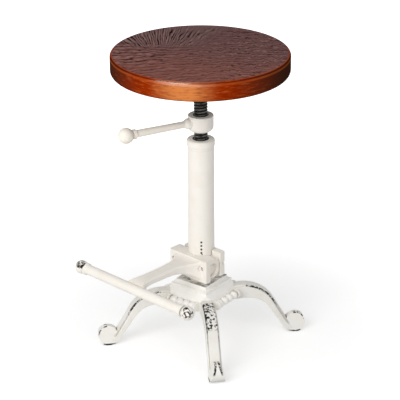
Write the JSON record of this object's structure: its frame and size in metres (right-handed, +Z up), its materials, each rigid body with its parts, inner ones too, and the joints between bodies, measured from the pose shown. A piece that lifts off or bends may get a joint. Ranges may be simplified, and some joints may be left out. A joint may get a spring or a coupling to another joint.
{
  "type": "swivel counter stool",
  "caption": "Swivel counter stool: round wooden seat on a raising screw, lever lock collar, column with a clamped footrest bar, and a cast plinth on cabriole legs.",
  "frame": {"origin": "on the floor, at the middle of the object's outline; the stool's axis stands 5.8 mm to +X and 24.5 mm to +Y of it", "axes": "+Z up along the screw, -Y towards the footrest side, +X to the right seen from that side"},
  "size_m": [0.3677, 0.4052, 0.623],
  "materials": {
    "painted_iron": "cream paint, worn through to black on the edges",
    "black_iron": "satin black, oiled",
    "steel": "dull zinc",
    "wood": "dark stained and waxed, amber at the rim"
  },
  "bodies": {
    "base": {"base_plinth": "painted_iron", "leg_front_right": "painted_iron", "leg_back_right": "painted_iron", "leg_back_left": "painted_iron", "leg_front_left": "painted_iron", "leg_bolts": "steel", "column_tube": "painted_iron", "column_cap": "painted_iron", "thread_nut": "black_iron", "column_plug": "black_iron", "tie_washer": "steel", "tie_bolt": "steel"},
    "guide": {"guide_ring": "black_iron"},
    "seat": {"seat_disc": "wood", "seat_spider": "black_iron", "seat_screws": "steel", "seat_screw": "black_iron", "cross_pin": "steel", "stop_plate": "steel", "stop_bolt": "steel"},
    "bush": {"collar_bush": "black_iron"},
    "lever": {"lock_collar": "painted_iron", "lever_rod": "painted_iron", "lever_ball": "painted_iron"},
    "footrest": {"footrest_arm": "painted_iron", "clamp_jaw": "painted_iron", "clamp_bolts": "steel", "clamp_washers": "steel", "clamp_nuts": "steel", "foot_bar": "painted_iron", "bar_ball_right": "painted_iron", "bar_ball_left": "painted_iron"}
  },
  "joints": [
    {"name": "seat_lift", "type": "slide", "parent": "base", "child": "guide", "axis": [0, 0, 1], "range_m": [-0.0446, 0.1208]},
    {"name": "seat_turn", "type": "hinge", "parent": "guide", "child": "seat", "pos_m": [0.0058, 0.0245, 0.5], "axis": [0, 0, 1], "range_deg": [-2520, 6840]},
    {"name": "collar_travel", "type": "slide", "parent": "base", "child": "bush", "axis": [0, 0, 1], "range_m": [-0.016, 0.0097]},
    {"name": "lever_turn", "type": "hinge", "parent": "bush", "child": "lever", "pos_m": [0.0058, 0.0245, 0.478], "axis": [0, 0, 1], "range_deg": [-900, 540]},
    {"name": "footrest_swing", "type": "hinge", "parent": "base", "child": "footrest", "pos_m": [0.0058, 0.0245, 0.175], "axis": [0, 0, 1], "continuous": true}
  ],
  "couplings": [
    {"joint": "seat_lift", "follows": "seat_turn", "m_per_rad": 0.0010106},
    {"joint": "collar_travel", "follows": "lever_turn", "m_per_rad": 0.0010106}
  ]
}
